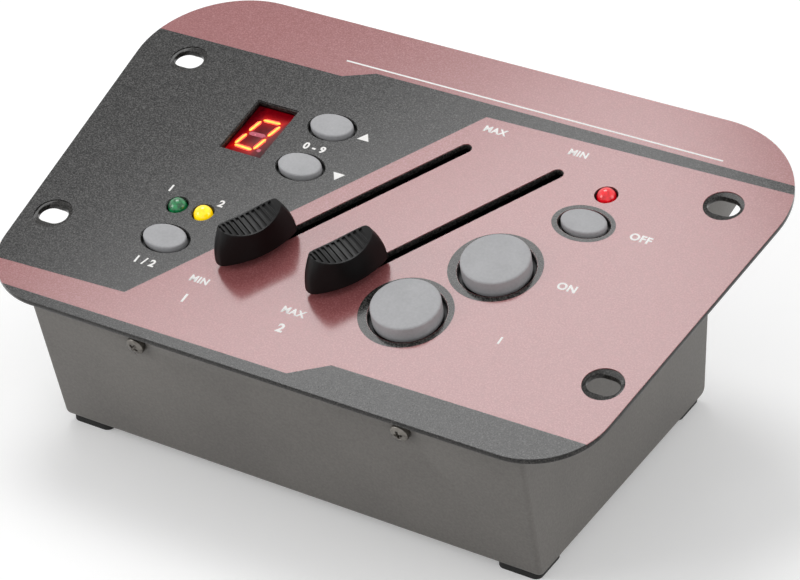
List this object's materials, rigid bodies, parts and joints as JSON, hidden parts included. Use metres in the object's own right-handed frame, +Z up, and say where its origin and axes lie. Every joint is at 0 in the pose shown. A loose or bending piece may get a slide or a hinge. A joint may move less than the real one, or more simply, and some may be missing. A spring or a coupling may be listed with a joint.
{
  "type": "strobe light controller",
  "caption": "Desk console with a tilted printed metal panel: slide controls, push buttons, digit display and lamps, on a wedge-shaped sheet-steel tray with sockets at the rear.",
  "frame": {"origin": "on the surface the feet stand on, under the middle of the outline", "axes": "+X along the panel to the user's right, +Y from the front to the rear sockets, +Z up"},
  "size_m": [0.1916, 0.122, 0.0762],
  "materials": {
    "tray_paint": "dark grey fine-textured powder coat",
    "panel_steel": "plain cut edges",
    "printed_film": "matt printed film, charcoal and dusty pink",
    "zinc_steel": "zinc plated",
    "foot_rubber": "matt",
    "board_laminate": "green solder mask",
    "component_black": "moulded",
    "display_shell": "matt with lit segments",
    "display_red": "clear red sheet",
    "lamp_green": "tinted epoxy",
    "lamp_yellow": "tinted epoxy, lit",
    "lamp_red": "tinted epoxy",
    "fader_metal": "plated",
    "knob_plastic": "black satin moulding",
    "button_plastic": "light grey satin moulding",
    "socket_shell": "black cast shell",
    "latch_metal": "plated",
    "jack_plastic": "moulded",
    "nut_metal": "nickel plated",
    "switch_plastic": "moulded"
  },
  "bodies": {
    "console": {"housing_tray": "tray_paint", "panel_plate": "panel_steel", "panel_film": "printed_film", "panel_brackets": "zinc_steel", "tray_screws": "zinc_steel", "foot_screws": "zinc_steel", "board_screws": "zinc_steel", "board_spacers": "zinc_steel", "rubber_feet": "foot_rubber", "control_board": "board_laminate", "board_parts": "component_black", "push_switches": "component_black", "output_core": "component_black", "display_module": "display_shell", "display_filter": "display_red", "lamp_green": "lamp_green", "lamp_yellow": "lamp_yellow", "lamp_red": "lamp_red", "fader_body_left": "fader_metal", "fader_body_right": "fader_metal", "output_socket": "socket_shell", "output_screws": "latch_metal", "jack_socket": "jack_plastic", "power_inlet": "jack_plastic", "jack_nut": "nut_metal", "inlet_nut": "nut_metal", "switch_frame": "switch_plastic"},
    "left_fader": {"fader_lever_left": "fader_metal", "fader_knob_left": "knob_plastic"},
    "right_fader": {"fader_lever_right": "fader_metal", "fader_knob_right": "knob_plastic"},
    "full_button": {"button_full": "button_plastic"},
    "single_button": {"button_single": "button_plastic"},
    "step_up_button": {"button_step_up": "button_plastic"},
    "step_down_button": {"button_step_down": "button_plastic"},
    "mode_button": {"button_mode": "button_plastic"},
    "hold_button": {"button_hold": "button_plastic"},
    "latch": {"output_latch": "latch_metal"},
    "rocker": {"switch_rocker": "switch_plastic"}
  },
  "joints": [
    {"name": "left_fader_slide", "type": "slide", "parent": "console", "child": "left_fader", "axis": [0.509, 0.837, 0.2009], "range_m": [0, 0.06]},
    {"name": "right_fader_slide", "type": "slide", "parent": "console", "child": "right_fader", "axis": [0.509, 0.837, 0.2009], "range_m": [0, 0.06]},
    {"name": "full_button_press", "type": "slide", "parent": "console", "child": "full_button", "axis": [0, 0.2334, -0.9724], "range_m": [0, 0.0015], "stiffness_N_per_m": 400, "springref_m": -0.001},
    {"name": "single_button_press", "type": "slide", "parent": "console", "child": "single_button", "axis": [0, 0.2334, -0.9724], "range_m": [0, 0.0015], "stiffness_N_per_m": 400, "springref_m": -0.001},
    {"name": "step_up_button_press", "type": "slide", "parent": "console", "child": "step_up_button", "axis": [0, 0.2334, -0.9724], "range_m": [0, 0.0006], "stiffness_N_per_m": 400, "springref_m": -0.001},
    {"name": "step_down_button_press", "type": "slide", "parent": "console", "child": "step_down_button", "axis": [0, 0.2334, -0.9724], "range_m": [0, 0.0006], "stiffness_N_per_m": 400, "springref_m": -0.001},
    {"name": "mode_button_press", "type": "slide", "parent": "console", "child": "mode_button", "axis": [0, 0.2334, -0.9724], "range_m": [0, 0.0006], "stiffness_N_per_m": 400, "springref_m": -0.001},
    {"name": "hold_button_press", "type": "slide", "parent": "console", "child": "hold_button", "axis": [0, 0.2334, -0.9724], "range_m": [0, 0.0006], "stiffness_N_per_m": 400, "springref_m": -0.001},
    {"name": "latch_press", "type": "slide", "parent": "console", "child": "latch", "axis": [0, 0, -1], "range_m": [0, 0.0008], "stiffness_N_per_m": 500, "springref_m": -0.001},
    {"name": "rocker_tip", "type": "hinge", "parent": "console", "child": "rocker", "pos_m": [0.046, 0.04263, 0.021], "axis": [1, 0, 0], "range_deg": [0, 24]}
  ]
}
